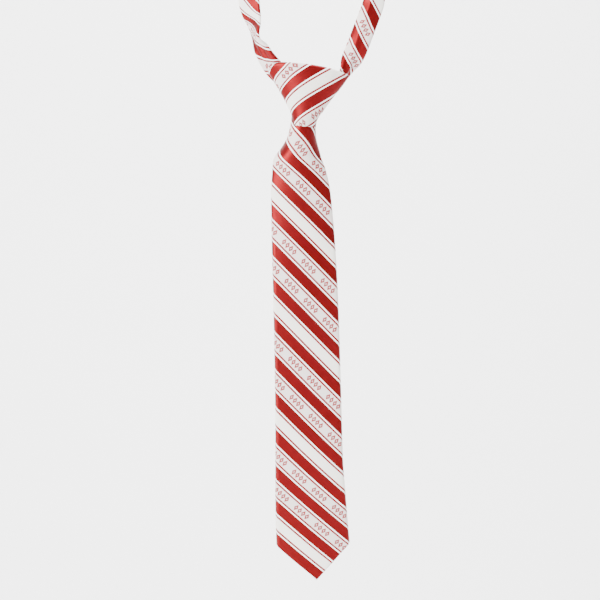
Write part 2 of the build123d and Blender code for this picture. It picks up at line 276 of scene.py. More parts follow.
def striped_satin():
    """Woven polyester stripe: bright satin on the red, a dull plain weave on the pale bands."""
    material, tree = new_material("woven polyester stripe, satin and plain weave")
    cloth_uv = add(tree, "ShaderNodeUVMap", uv_map="cloth")
    # The cloth is cut on the bias, so the stripes run at 45 degrees to the strip
    bias = add(tree, "ShaderNodeMapping", {"Vector": cloth_uv, "Rotation": (0, 0, pi / 4)})
    split = add(tree, "ShaderNodeSeparateXYZ", {0: bias})
    over, along = split.outputs["X"], split.outputs["Y"]

    distance = add(tree, "ShaderNodeMath", {0: over, 1: PITCH / 2}, operation="PINGPONG")
    share = add(tree, "ShaderNodeMath", {0: distance, 1: PITCH / 2}, operation="DIVIDE")
    ramp = add(tree, "ShaderNodeValToRGB", {0: share})
    ramp.color_ramp.interpolation = "CONSTANT"
    bands = (
        (0, PLAIN_BAND),
        (BAND_HALF, LINE_RED),
        (THIN_LINE, LINE_WHITE),
        (WHITE_LINE, SATIN_RED),
    )
    for _ in range(len(bands) - 2):
        ramp.color_ramp.elements.new(0.5)
    for stop, (edge, shade) in zip(ramp.color_ramp.elements, bands):
        stop.position = edge / (PITCH / 2)
        stop.color = colour(shade)
    red = add(tree, "ShaderNodeMath", {0: distance, 1: WHITE_LINE}, operation="GREATER_THAN")
    pale = add(tree, "ShaderNodeMath", {0: distance, 1: BAND_HALF}, operation="LESS_THAN")

    # Two pale bands out of three carry figures, the third is plain
    shifted = add(tree, "ShaderNodeMath", {0: over, 1: PITCH / 2}, operation="ADD")
    order = add(tree, "ShaderNodeMath", {0: shifted, 1: PITCH}, operation="DIVIDE")
    order = add(tree, "ShaderNodeMath", {0: order}, operation="FLOOR")
    order = add(tree, "ShaderNodeMath", {0: order, 1: 3}, operation="FLOORED_MODULO")
    figured = add(tree, "ShaderNodeMath", {0: order, 1: 0.5}, operation="GREATER_THAN")

    # Groups of four small hollow lozenges
    group = add(
        tree, "ShaderNodeMath", {0: along, 1: -FIGURE_PITCH / 2, 2: FIGURE_PITCH / 2}, operation="WRAP"
    )
    group_share = add(tree, "ShaderNodeMath", {0: group}, operation="ABSOLUTE")
    inside = add(
        tree, "ShaderNodeMath", {0: group_share, 1: 2 * LOZENGE_PITCH}, operation="LESS_THAN"
    )
    cell = add(tree, "ShaderNodeMath", {0: group, 1: LOZENGE_PITCH / 2}, operation="SUBTRACT")
    cell = add(
        tree, "ShaderNodeMath", {0: cell, 1: -LOZENGE_PITCH / 2, 2: LOZENGE_PITCH / 2}, operation="WRAP"
    )
    cell = add(tree, "ShaderNodeMath", {0: cell}, operation="ABSOLUTE")
    wide = add(tree, "ShaderNodeMath", {0: cell, 1: LOZENGE_HALF_WIDTH}, operation="DIVIDE")
    high = add(tree, "ShaderNodeMath", {0: distance, 1: LOZENGE_HALF_HEIGHT}, operation="DIVIDE")
    lozenge = add(tree, "ShaderNodeMath", {0: wide, 1: high}, operation="ADD")
    # The middle of each lozenge is left open
    outline = add(tree, "ShaderNodeMath", {0: lozenge, 1: 0.62, 2: 0.38}, operation="COMPARE")
    figure = add(tree, "ShaderNodeMath", {0: outline, 1: inside}, operation="MULTIPLY")
    figure = add(tree, "ShaderNodeMath", {0: figure, 1: figured}, operation="MULTIPLY")
    figure = add(tree, "ShaderNodeMath", {0: figure, 1: pale}, operation="MULTIPLY")

    # The thread grid of the plain weave, along the bands and across them
    per_thread = (2 * pi / THREAD_GRID,) * 3
    scaled = add(tree, "ShaderNodeVectorMath", {0: bias, 1: per_thread}, operation="MULTIPLY")
    waves = add(tree, "ShaderNodeSeparateXYZ", {0: scaled})
    warp = add(tree, "ShaderNodeMath", {0: waves.outputs["X"]}, operation="SINE")
    weft = add(tree, "ShaderNodeMath", {0: waves.outputs["Y"]}, operation="SINE")
    grid = add(tree, "ShaderNodeMath", {0: warp, 1: weft}, operation="MULTIPLY")
    # Satin floats run along the red stripe, as fine uneven streaks
    streak_way = add(tree, "ShaderNodeVectorMath", {0: bias, 1: (1.9, 0.16, 1)}, operation="MULTIPLY")
    streaks = add(tree, "ShaderNodeTexNoise", {"Vector": streak_way, "Scale": 1.0, "Detail": 2.0})
    blotches = add(tree, "ShaderNodeTexNoise", {"Vector": cloth_uv, "Scale": 0.035, "Detail": 1.0})

    # The figured bands are woven a shade greyer than the plain one
    greyer = add(tree, "ShaderNodeMath", {0: figured, 1: pale}, operation="MULTIPLY")
    greyer = add(tree, "ShaderNodeMath", {0: greyer, 1: 0.75}, operation="MULTIPLY")
    ground = add(
        tree, "ShaderNodeMix", {0: greyer, 6: ramp, 7: colour(FIGURED_BAND)}, data_type="RGBA"
    ).outputs[2]
    base = add(
        tree, "ShaderNodeMix", {0: figure, 6: ground, 7: colour(FIGURE_RED)}, data_type="RGBA"
    ).outputs[2]
    # Painted shade: the pale bands are darkened towards the thread shadow colour in the hollows of the
    # thread grid
    thread_hollow_shade = add(tree, "ShaderNodeMapRange", {0: grid, 1: -1.0, 2: 1.0, 3: 0.0, 4: 0.22})
    thread_hollow_shade = add(tree, "ShaderNodeMath", {0: thread_hollow_shade, 1: pale}, operation="MULTIPLY")
    base = add(
        tree, "ShaderNodeMix", {0: thread_hollow_shade, 6: base, 7: colour(THREAD_SHADOW)}, data_type="RGBA"
    ).outputs[2]
    # Painted shade: the red satin is darkened in uneven streaks along its floats
    satin_streak_shade = add(tree, "ShaderNodeMapRange", {0: streaks, 1: 0.35, 2: 0.7, 3: 0.0, 4: 0.4})
    satin_streak_shade = add(tree, "ShaderNodeMath", {0: satin_streak_shade, 1: red}, operation="MULTIPLY")
    base = add(
        tree, "ShaderNodeMix", {0: satin_streak_shade, 6: base, 7: colour(SATIN_SHADOW)}, data_type="RGBA"
    ).outputs[2]

    # Bump: the plain weave stands a little, the satin floats lie flat, with a step at each line
    rise = add(tree, "ShaderNodeMapRange", {0: grid, 1: -1.0, 2: 1.0, 3: 0.0, 4: 0.5})
    flat_red = add(tree, "ShaderNodeMapRange", {0: streaks, 1: 0.3, 2: 0.7, 3: 0.2, 4: 0.5})
    height = add(tree, "ShaderNodeMix", {0: red, 2: rise, 3: flat_red}, data_type="FLOAT")
    raised = add(tree, "ShaderNodeMath", {0: figure, 1: 0.6, 2: height}, operation="MULTIPLY_ADD")
    bump = add(tree, "ShaderNodeBump", {"Height": raised, "Strength": 0.35, "Distance": 0.0003})

    # Satin throws the light back in its own colour; the plain weave stays dull
    metal = add(tree, "ShaderNodeMath", {0: red, 1: SATIN_METALLIC}, operation="MULTIPLY")
    rough = add(tree, "ShaderNodeMapRange", {0: red, 1: 0.0, 2: 1.0, 3: PLAIN_ROUGH, 4: SATIN_ROUGH})
    rough_patch = add(tree, "ShaderNodeMapRange", {0: blotches, 1: 0.3, 2: 0.7, 3: -0.04, 4: 0.04})
    rough = add(tree, "ShaderNodeMath", {0: rough, 1: rough_patch}, operation="ADD")
    # The floats of the satin lie along the bias, so its shine is drawn out across them
    floats = add(tree, "ShaderNodeTangent", direction_type="UV_MAP", uv_map="cloth")
    shader = add(
        tree,
        "ShaderNodeBsdfPrincipled",
        {
            "Base Color": base,
            "Metallic": metal,
            "Anisotropic": 0.6,
            "Anisotropic Rotation": 0.125,
            "Tangent": floats,
            "Roughness": rough,
            "Normal": bump,
            "Sheen Weight": 0.05,
            "Sheen Roughness": 0.4,
            "Sheen Tint": colour("#FFD9D0"),
        },
    )
    add(tree, "ShaderNodeOutputMaterial", {"Surface": shader})
    return material


def plain_cloth(name, shade, hollow_shade_colour, thread, rough, sheen):
    """A one-colour cloth: a thread grid, thread mm apart, gives it a dry, even surface, with painted
    shade where the grid and fuzz lie low.
    """
    material, tree = new_material(name)
    place = add(tree, "ShaderNodeTexCoord")
    scaled = add(
        tree,
        "ShaderNodeVectorMath",
        {0: place.outputs["Object"], 1: (2 * pi / (thread * MM),) * 3},
        operation="MULTIPLY",
    )
    waves = add(tree, "ShaderNodeSeparateXYZ", {0: scaled})
    warp = add(tree, "ShaderNodeMath", {0: waves.outputs["X"]}, operation="SINE")
    weft = add(tree, "ShaderNodeMath", {0: waves.outputs["Z"]}, operation="SINE")
    grid = add(tree, "ShaderNodeMath", {0: warp, 1: weft}, operation="MULTIPLY")
    fuzz = add(
        tree, "ShaderNodeTexNoise", {"Vector": place.outputs["Object"], "Scale": 900.0, "Detail": 3.0}
    )
    height = add(tree, "ShaderNodeMath", {0: fuzz, 1: 1.0, 2: grid}, operation="MULTIPLY_ADD")
    # Painted shade: the cloth is darkened where the thread grid and fuzz lie low, as in the hollows of
    # the weave
    share = add(tree, "ShaderNodeMapRange", {0: height, 1: -0.8, 2: 1.6, 3: 0.0, 4: 1.0})
    base = add(
        tree, "ShaderNodeMix", {0: share, 6: colour(hollow_shade_colour), 7: colour(shade)}, data_type="RGBA"
    ).outputs[2]
    bump = add(tree, "ShaderNodeBump", {"Height": share, "Strength": 0.4, "Distance": 0.0002})
    shader = add(
        tree,
        "ShaderNodeBsdfPrincipled",
        {"Base Color": base, "Roughness": rough, "Normal": bump, "Sheen Weight": sheen},
    )
    add(tree, "ShaderNodeOutputMaterial", {"Surface": shader})
    return material


STRIPE = striped_satin()
# In each of the next four, the second colour is painted shade for the hollows between threads
# The threads of the next four are drawn coarser than the real ones, which would not show
# Brushed wool and polyester felt: pale, matt and fluffy
FELT = plain_cloth("brushed interlining felt", "#E9E4D8", "#C9C2B2", 1.2, 0.95, 0.3)
# Acetate lining: thin, smooth and a little shiny
LINING = plain_cloth("acetate tipping lining", "#8A0A10", "#5E0409", 0.5, 0.72, 0.02)
# Spun polyester thread: a soft shine on small beads
THREAD = plain_cloth("spun polyester thread", "#96060C", "#5E0409", 0.4, 0.6, 0.1)
# Woven tape: matt off-white with a fine rib
TAPE = plain_cloth("woven tape", "#F3EFE8", "#CFC8BC", 0.8, 0.85, 0.1)

# ---------------------------------------------------------------- blades

# Stops are (mm below the lip, value); the blade's middle is measured from the CAD middle line
BLADE_SHAPE = {
    # front width of the folded cloth
    "width": (
        (-14, 33), (0, 36), (9, 40), (18, 43), (28, 46.5), (43, 50.5), (60, 53), (105, 55.2),
        (160, 56.2), (240, 57.2), (293, 58.6), (321, 60.8), (364, 63.5),
    ),
    # the roll that squeezes it into the knot's lip, 1 / radius
    "curve": (
        (-14, 0.125), (0, 0.105), (9, 0.094), (18, 0.07), (28, 0.042), (43, 0.025), (58, 0.018),
        (75, 0.0145), (105, 0.010), (160, 0.0065), (400, 0.0055),
    ),
    # how far the middle of the front stands forward of the CAD middle
    "forward": ((-14, 5.6), (0, 5.6), (10, 5.2), (28, 3.8), (60, 1.8), (105, 1.1), (160, 0.9)),
    "middle": (
        (-14, 3.2), (0, 2.3), (9, 0.9), (18, -1.0), (28, -3.6), (34, -3.1), (43, -2.2), (58, -1.6),
        (105, -0.6), (160, -0.2), (240, -0.8), (293, -1.6), (321, -1.4), (364, -0.4), (394, 1.3),
    ),
    "depth": 3.0,
    "back": 0.0,
}
TAIL_SHAPE = {
    "width": ((-14, 12), (0, 13), (45, 18), (TAIL_TOP, 24), (TAIL_TIP, 38)),
    "curve": ((-14, 0.03), (0, 0.02), (60, 0.004), (400, 0.004)),
    "forward": ((-14, 1.6), (0, 1.4), (30, 0.2), (60, 0)),
    "middle": ((-14, 3.2), (0, 2.8), (40, 0), (400, 0)),
    "depth": 2.8,
    "back": TAIL_BACK,
}
# Bias cloth leans: (mm below the lip, mm of pattern, degrees of the stripes below level)
LEAN_OF_STRIPES = (
    (-14, -13.4, 47.5), (0, 0, 47.5), (200, 191, 47.5), (300, 290, 45.5), (394, 390, 43.5),
)


def on_blade(shape, aside, forward, below):
    """World place of a point of a blade's section: aside and forward in the flat, mm below the lip."""
    aside, forward = curl(aside, forward, through(shape["curve"], below)[0])
    forward += through(shape["forward"], below)[0]
    swell = 0.5 * sin(below / 21 + 0.4) + 0.35 * sin(below / 47 + aside / 14)
    forward += swell * min(1, max(0, below / 60)) * (0.3 if shape["back"] else 1)
    aside += through(shape["middle"], below)[0]
    return LIP_MIDDLE + ACROSS * aside + DOWN * below + FRONT * (forward - shape["back"])


def stripe_place(aside, below, shift):
    """Pattern place of a point of the cloth; shift moves the stripes along the strip."""
    run, slope = through(LEAN_OF_STRIPES, below)
    if below > LEAN_OF_STRIPES[-1][0]:
        run += below - LEAN_OF_STRIPES[-1][0]
    return aside * sqrt(2) * sin(radians(slope)) + shift, run


def folded_blade(name, shape, top, tip, point, window, shift, columns, rows):
    """The folded shell of a blade: front, rounded edges and two flaps that meet behind."""

    def place(across, along):
        share = 2 * across - 1
        full = through(shape["width"], tip)[0]
        half_round = girth(full, shape["depth"])
        arc = abs(share) * half_round
        front_share = min(1, arc / (full / 2))
        flap_share = max(0, (arc - full / 2) / (half_round - full / 2))
        end = tip - point * front_share
        if flap_share > 0:
            end = (tip - point) * (1 - flap_share) + (tip - window) * flap_share
        below = top + (end - top) * along
        width = through(shape["width"], below)[0]
        s, aside, forward = round_fold(share, width, shape["depth"])
        u, v = stripe_place(s, below, shift)
        return on_blade(shape, aside, forward, below), u, v

    return cloth_grid(name, columns, rows, place, CLOTH_THICK)


def blade_layer(name, shape, top, tip, point, inset, forward, thickness, columns=24, rows=80):
    """A flat layer inside a folded blade, drawn in from its edges by inset."""

    def place(across, along):
        share = 2 * across - 1
        end = tip - point * abs(share) - 1.4 * inset
        below = top + (end - top) * along
        aside = share * (through(shape["width"], below)[0] / 2 - inset)
        return on_blade(shape, aside, forward, below), aside, below

    return cloth_grid(name, columns, rows, place, thickness)


def seam_spots(shape, start, end, pitch):
    """Thread beads across the centre seam behind a blade."""
    count = int((end - start) / pitch)
    for step in range(count):
        below = start + pitch * (step + 0.5)
        middle = on_blade(shape, 0, -shape["depth"] / 2 - 0.25, below)
        yield middle, ACROSS + 0.35 * DOWN, -FRONT


def tack_spots(shape, below, count):
    """A bar tack: close threads over the place where the flaps part."""
    pitch = 0.55
    for step in range(count):
        at = below + (step - (count - 1) / 2) * pitch
        yield on_blade(shape, 0, -shape["depth"] / 2 - 0.3, at), ACROSS, -FRONT


IN_KNOT = -14           # where the cloth of the blade and the throat starts, inside the knot
BLADE_POINT = 31.0      # height of the point below the last full width
TAIL_POINT = 19.0
BLADE_WINDOW = 70.0     # how far the flaps part above the tip
TAIL_WINDOW = 46.0
BLADE_SHIFT = 176.3     # where the stripes start on the blade
TAIL_SHIFT = 60
blade_shell = folded_blade(
    "front_blade_cloth", BLADE_SHAPE, IN_KNOT, BLADE_TIP, BLADE_POINT, BLADE_WINDOW, BLADE_SHIFT,
    columns=56, rows=150,
)
blade_felt = blade_layer(
    "front_blade_interlining_felt", BLADE_SHAPE, IN_KNOT + 2, BLADE_TIP, BLADE_POINT,
    inset=2.6, forward=0.3, thickness=1.0,
)
blade_tipping = blade_layer(
    "front_blade_tipping_lining", BLADE_SHAPE, BLADE_TIP - BLADE_WINDOW - 14, BLADE_TIP, BLADE_POINT,
    inset=2.2, forward=-0.55, thickness=0.3, rows=30,
)
tail_shell = folded_blade(
    "tail_cloth", TAIL_SHAPE, TAIL_TOP, TAIL_TIP, TAIL_POINT, TAIL_WINDOW, TAIL_SHIFT,
    columns=40, rows=60,
)
tail_felt = blade_layer(
    "tail_interlining_felt", TAIL_SHAPE, TAIL_TOP, TAIL_TIP, TAIL_POINT,
    inset=2.2, forward=0.3, thickness=0.9,
)
tail_tipping = blade_layer(
    "tail_tipping_lining", TAIL_SHAPE, TAIL_TIP - TAIL_WINDOW - 8, TAIL_TIP, TAIL_POINT,
    inset=2.0, forward=-0.5, thickness=0.3, columns=20, rows=20,
)


def throat(name, top, bottom):
    """A plain stretch of the narrow end between the knot and the sliding tail."""

    def place(across, along):
        below = top + (bottom - top) * along
        width = through(TAIL_SHAPE["width"], below)[0]
        s, aside, forward = round_fold(2 * across - 1, width, TAIL_SHAPE["depth"])
        u, v = stripe_place(s, below, TAIL_SHIFT)
        return on_blade(TAIL_SHAPE, aside, forward, below), u, v

    return cloth_grid(name, 28, 24, place, CLOTH_THICK)


throat_upper = throat("tail_throat_upper_cloth", IN_KNOT, THROAT_BREAK)
throat_lower = throat("tail_throat_lower_cloth", THROAT_BREAK, TAIL_TOP)

for piece in (blade_shell, blade_felt, throat_upper):
    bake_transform(piece)
finish_piece(blade_shell, STRIPE, nodes=["front_blade_shell"])
finish_piece(blade_felt, FELT, nodes=["front_blade_interlining"])
finish_piece(blade_tipping, LINING, "front_blade", ["front_blade_tipping"])
upper_nodes = ["tail_throat_upper_shell", "tail_throat_upper_interlining"]
finish_piece(throat_upper, STRIPE, nodes=upper_nodes)
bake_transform(throat_lower)
lower_nodes = ["tail_throat_lower_shell", "tail_throat_lower_interlining"]
finish_piece(throat_lower, STRIPE, nodes=lower_nodes)
finish_piece(tail_shell, STRIPE, "tail", ["tail_shell"])
finish_piece(tail_felt, FELT, "tail", ["tail_interlining"])
finish_piece(tail_tipping, LINING, "tail", ["tail_tipping"])

SLIP_PITCH = 12         # mm from one slip stitch to the next
blade_tack_at = BLADE_TIP - BLADE_WINDOW - 1
tail_tack_at = TAIL_TIP - TAIL_WINDOW - 1
# The blade's slip stitches stop where the keeper and the label are sewn on
blade_slips = [
    *seam_spots(BLADE_SHAPE, 80, 150, SLIP_PITCH),
    *seam_spots(BLADE_SHAPE, 212, blade_tack_at - 3, SLIP_PITCH),
]
tail_slips = seam_spots(TAIL_SHAPE, TAIL_TOP, tail_tack_at - 2, SLIP_PITCH)
stitches(
    "front_blade_slip_stitch_thread", blade_slips, (2.6, 0.5), "front_blade", "front_blade_slip_stitches"
)
stitches(
    "front_blade_bar_tack_thread", tack_spots(BLADE_SHAPE, blade_tack_at, 7), (9, 0.6),
    "front_blade", "front_blade_bar_tack",
)
stitches("tail_slip_stitch_thread", tail_slips, (2.2, 0.5), "tail", "tail_slip_stitches")
stitches(
    "tail_bar_tack_thread", tack_spots(TAIL_SHAPE, tail_tack_at, 5), (6, 0.55), "tail", "tail_bar_tack"
)

# ---------------------------------------------------------------- keeper, label, tag

BLADE_BACK = BLADE_SHAPE["depth"] / 2
KEEPER_HALF = (keeper_high[0] - keeper_low[0]) / 2 - 1.0
KEEPER_REACH = keeper_high[1] - 0.6
KEEPER_HEIGHT = 14.0
KEEPER_SHIFT = 40


def keeper_place(across, along):
    """The keeper goes out behind the blade, round the tail and back, with its ends turned under."""
    path = (
        (0, KEEPER_HALF - 4, BLADE_BACK + 0.5), (0.06, KEEPER_HALF - 1, BLADE_BACK + 0.6),
        (0.1, KEEPER_HALF + 0.6, BLADE_BACK + 1.6), (0.15, KEEPER_HALF, KEEPER_REACH - 1.2),
        (0.2, KEEPER_HALF - 2.6, KEEPER_REACH), (0.5, 0, KEEPER_REACH + 0.3),
        (0.8, 2.6 - KEEPER_HALF, KEEPER_REACH), (0.85, -KEEPER_HALF, KEEPER_REACH - 1.2),
        (0.9, -KEEPER_HALF - 0.6, BLADE_BACK + 1.6), (0.94, 1 - KEEPER_HALF, BLADE_BACK + 0.6),
        (1, 4 - KEEPER_HALF, BLADE_BACK + 0.5),
    )
    aside, back = through(path, along)
    below = KEEPER_AT + (across - 0.5) * KEEPER_HEIGHT
    return LIP_MIDDLE + ACROSS * aside + DOWN * below - FRONT * back, aside + KEEPER_SHIFT, below


keeper = cloth_grid("keeper_loop_cloth", 8, 60, keeper_place, 0.7)
finish_piece(keeper, STRIPE, "front_blade", ["keeper_loop"])
keeper_spots = [
    (
        LIP_MIDDLE + ACROSS * (side * (KEEPER_HALF - 0.6)) + DOWN * (KEEPER_AT + (row - 2.5) * 2.2)
        - FRONT * (BLADE_BACK + 0.95),
        ACROSS, -FRONT,
    )
    for side in (-1, 1)
    for row in range(6)
]
stitches("keeper_loop_thread", keeper_spots, (1.8, 0.5), "front_blade", "keeper_stitches")

LABEL_WIDTH = (label_high[0] - label_low[0]) - 1
LABEL_HEIGHT = (label_high[2] - label_low[2]) - 1
TAPE_THICK = 0.25


def label_place(across, along):
    """A blank woven label, lying on the back of the blade with its corners lifted a hair."""
    aside = (across - 0.5) * LABEL_WIDTH
    rise = (along - 0.5) * LABEL_HEIGHT
    lift = 0.5 * abs(2 * across - 1) ** 6 * abs(2 * along - 1) ** 6
    below = LABEL_AT - rise
    place = on_blade(BLADE_SHAPE, aside, -BLADE_BACK - 0.42 - lift, below)
    return place, aside, rise


label = cloth_grid("blank_label_tape", 20, 14, label_place, TAPE_THICK)
finish_piece(label, TAPE, "front_blade", ["maker_label"])


def label_spots():
    """Thread beads round the label, 1 mm in from its edges."""
    back = -BLADE_BACK - 0.6
    for side in (-1, 1):
        for step in range(12):
            aside = (step - 5.5) * (LABEL_WIDTH - 3) / 11
            below = LABEL_AT + side * (LABEL_HEIGHT / 2 - 1)
            yield on_blade(BLADE_SHAPE, aside, back, below), ACROSS, -FRONT
        for step in range(7):
            aside = side * (LABEL_WIDTH / 2 - 1)
            below = LABEL_AT + (step - 3) * (LABEL_HEIGHT - 3) / 6
            yield on_blade(BLADE_SHAPE, aside, back, below), DOWN, -FRONT


stitches("blank_label_thread", label_spots(), (2.0, 0.35), "front_blade", "label_stitches")

TAG_WIDTH = 20.0
TAG_HEIGHT = 24.0
TAG_BACK = (tag_low[1] + tag_high[1]) / 2


def tag_place(across, along):
    """The care tag hangs from its top edge and curls away a little at its foot."""
    aside = (across - 0.5) * TAG_WIDTH
    fall = along * TAG_HEIGHT
    back = TAG_BACK + 1.6 * along**2.2 + 0.3 * sin(pi * across)
    return LIP_MIDDLE + ACROSS * aside + DOWN * (TAG_AT + fall) - FRONT * back, aside, fall


tag = cloth_grid("care_tag_tape", 12, 16, tag_place, TAPE_THICK)
finish_piece(tag, TAPE, "care_tag", ["care_tag"])
tag_seam = LIP_MIDDLE + DOWN * (TAG_AT - 0.8) - FRONT * (BLADE_BACK + 0.5)
tag_spots = [(tag_seam + ACROSS * ((step - 3.5) * 2.3), ACROSS, -FRONT) for step in range(8)]
stitches("care_tag_thread", tag_spots, (1.9, 0.5), "front_blade", "care_tag_stitches")

# ---------------------------------------------------------------- knot

# The wrapped cone: share of the way up from the lip, then the left and right ends of the ring
# (x and height, mm) and half its depth
KNOT_RINGS = (
    (0.0, -16.3, -178.6, 3.1, -179.4, 8.4),
    (0.15, -17.3, -171.5, 4.8, -173.2, 8.9),
    (0.3, -20.3, -163.6, 9.9, -166.2, 9.8),
    (0.5, -26.0, -152.8, 17.2, -156.0, 11.2),
    (0.75, -32.2, -142.3, 25.2, -146.0, 12.6),
    (1.0, -38.0, -132.8, 31.9, -136.5, 13.2),
)
KNOT_HEIGHT = 46.0
WRAP_THICK = 0.5
# The top edge arches up between its ends: share of the way from left to right, mm of rise
KNOT_CROWN = ((0, 0), (0.04, 4.0), (0.1, 6.6), (0.22, 7.4), (0.5, 6.6), (0.75, 4.4), (0.9, 2.0), (1, 0))
# How the wrap's stripes climb to the right: mm across, degrees, share by which they are closer
WRAP_CLIMB = (
    (-34, 46, 1.14), (-26, 44, 1.12), (-18, 42, 1.07), (-10, 36, 1.02), (-3, 31.5, 0.98),
    (9, 29, 0.96), (18, 27.3, 0.95), (30, 26, 0.94),
)
# The middle of the plain band passes here (x and height)
WRAP_PLAIN = (-5.3, -148.8)
CLIMB_REACH = 160


def climb_sums():
    """Rise and length of a stripe from the plain point, for each mm across."""
    found = {0: (0.0, 0.0)}
    for way in (-1, 1):
        rise = length = 0.0
        for step in range(CLIMB_REACH):
            slope = radians(through(WRAP_CLIMB, WRAP_PLAIN[0] + way * (step + 0.5))[0])
            rise += way * sin(slope) / cos(slope)
            length += way / cos(slope)
            found[way * (step + 1)] = (rise, length)
    return found


CLIMB = climb_sums()


def wrap_pattern(flat_x, flat_z):
    """Pattern place on the wrap, so that the plain band climbs across the middle of the knot."""
    run = flat_x - WRAP_PLAIN[0]
    k = max(1 - CLIMB_REACH, min(CLIMB_REACH - 2, int(run // 1)))
    part = run - k
    rise = CLIMB[k][0] * (1 - part) + CLIMB[k + 1][0] * part
    length = CLIMB[k][1] * (1 - part) + CLIMB[k + 1][1] * part
    climb, closer = through(WRAP_CLIMB, flat_x)
    slope = radians(climb)
    above = flat_z - WRAP_PLAIN[1] - rise
    over = above * cos(slope) * closer
    along = length + above * sin(slope)
    return (over + along) / sqrt(2), (along - over) / sqrt(2)


def knot_point(turn, share, inset):
    """A point of the wrapped cone; turn is 0 at the viewer's right and -90 degrees in front."""
    left_x, left_z, right_x, right_z, depth = through(KNOT_RINGS, share)
    middle = Vector(((left_x + right_x) / 2, 0, (left_z + right_z) / 2))
    half = Vector(((right_x - left_x) / 2, 0, (right_z - left_z) / 2))
    half *= (half.length - inset) / half.length
    side = cos(turn)
    rise = through(KNOT_CROWN, (side + 1) / 2)[0] * max(0, share) ** 2.2
    # Soft puckers where the wrap is pulled to its upper right corner
    pucker = 0.45 * sin(9 * turn + 5 * share) * exp(-(((side - 0.75) / 0.25) ** 2)) * share**6
    return middle + half * side + Vector((0, (depth - inset + pucker) * sin(turn), rise))


def wrap_cloth(name, start, stop, inset, columns, lip, rim, shift, low=0.0, high=1.0):
    """A stretch of the wrap from one turn to another, with its lower and upper folds rolled in."""
    front = min(max(start, stop), max(min(start, stop), -pi / 2))
    rows = 46
    steps = 160
    rings = {}

    def unrolled(turn, share):
        """Arc length along a ring of the cone, from its front to a turn."""
        key = round(share, 5)
        if key not in rings:
            turns = [start + (stop - start) * i / steps for i in range(steps + 1)]
            points = [knot_point(angle, share, inset) for angle in turns]
            rings[key] = [0.0]
            for a, b in zip(points, points[1:]):
                rings[key].append(rings[key][-1] + (b - a).length)
        lengths = rings[key]

        def at(angle):
            spot = (angle - start) / (stop - start) * steps
            k = min(int(max(spot, 0)), steps - 1)
            return lengths[k] + (lengths[k + 1] - lengths[k]) * (spot - k)

        way = 1 if stop > start else -1
        return way * (at(turn) - at(front))

    def place(across, along):
        turn = start + (stop - start) * across
        # The rows past either end go round the fold and inside
        fold = 0.1
        if along < fold:
            share, roll = low, (fold - along) / fold * lip
        elif along > 1 - fold:
            share, roll = high, (along - 1 + fold) / fold * rim
        else:
            share, roll = low + (high - low) * (along - fold) / (1 - 2 * fold), 0
        bend = 1.1
        angle = min(roll / bend, pi)
        inward = bend * (1 - cos(angle))
        way = 1 if along > 0.5 else -1
        inside = max(0, roll - pi * bend) / KNOT_HEIGHT
        point = knot_point(turn, share - way * inside, inset + inward)
        point.z += way * bend * sin(angle)
        flat_x = knot_point(front, share, inset).x + unrolled(turn, share)
        flat_z = knot_point(turn, share, inset).z + way * roll
        u, v = wrap_pattern(flat_x, flat_z)
        return point, u + shift, v

    return cloth_grid(name, columns, rows, place, WRAP_THICK)


front_wrap = wrap_cloth(
    "knot_front_wrap_cloth", radians(42), radians(-210), inset=0, columns=120, lip=5, rim=9, shift=0
)
back_wrap = wrap_cloth(
    "knot_back_wrap_cloth", radians(-168), radians(-372), inset=1.3, columns=90, lip=5, rim=9, shift=12
)
under_wrap = wrap_cloth(
    "knot_under_wrap_cloth", radians(0), radians(-360), inset=2.0, columns=72, lip=3, rim=3, shift=30,
    low=-0.03, high=0.3,
)
finish_piece(front_wrap, STRIPE, "knot", ["knot_front_wrap", "knot_front_interlining"])
finish_piece(back_wrap, STRIPE, "knot", ["knot_back_wrap", "knot_back_interlining"])
finish_piece(under_wrap, STRIPE, "knot", ["knot_under_wrap"])

RISER_LOW, RISER_HIGH = mm_box("knot_riser")
RISER_REACH = 9.0       # half its depth over the top
RISER_WIDTH = 26
RISER_FOOT = 14.0       # how far its ends go down on the inside, for a full turn
RISER_PUFF = 1.2
RISER_TILT = -0.19
RISER_THICK = 1.6


def riser_place(across, along):
    """The riser goes up inside the back, over the top between the strands and down in front."""
    middle = (RISER_LOW[0] + RISER_HIGH[0]) / 2
    turn = pi * along
    aside = (across - 0.5) * RISER_WIDTH * (1 + 0.15 * sin(turn))
    foot = RISER_FOOT * max(0, abs(2 * along - 1) - 0.55)
    puff = RISER_PUFF * (1 - (2 * across - 1) ** 2)
    crest = RISER_HIGH[2] - RISER_REACH + 1.5 + (RISER_REACH + puff) * sin(turn) * 0.9
    point = (middle + aside, (RISER_REACH + puff * 0.3) * cos(turn), crest - foot + RISER_TILT * aside)
    return point, aside, 60 * along + 8


riser = cloth_grid("knot_riser_cloth", 24, 40, riser_place, RISER_THICK)
finish_piece(riser, STRIPE, "knot", ["knot_riser"])


STRIP_FOOT_X = -6.6     # the strips inside the knot meet above its lip here
STRIP_THICK = 1.4


def strip_in_knot(name, node, top_width, foot_width):
    """A gathered strip inside the knot, from its top down to the lip."""
    low, high = mm_box(node)
    if node == "knot_tunnel_pass":
        top_y, foot_y = low[1] + 1.5, high[1] - 1.5
    else:
        top_y, foot_y = high[1] - 1.4, low[1] + 1.4

    def place(across, along):
        width = top_width + (foot_width - top_width) * along**0.8
        middle_x = (low[0] + high[0]) / 2 * (1 - along) + STRIP_FOOT_X * along
        aside = (across - 0.5) * width
        gather = 0.5 * cos(3 * pi * (2 * across - 1)) * (1 - 0.5 * along)
        y = top_y + (foot_y - top_y) * along + gather
        z = high[2] + (low[2] - high[2]) * along
        return (middle_x + aside, y, z), aside, -z

    piece = cloth_grid(name, 36, 30, place, STRIP_THICK)
    finish_piece(piece, STRIPE, "knot", [node])
    return piece


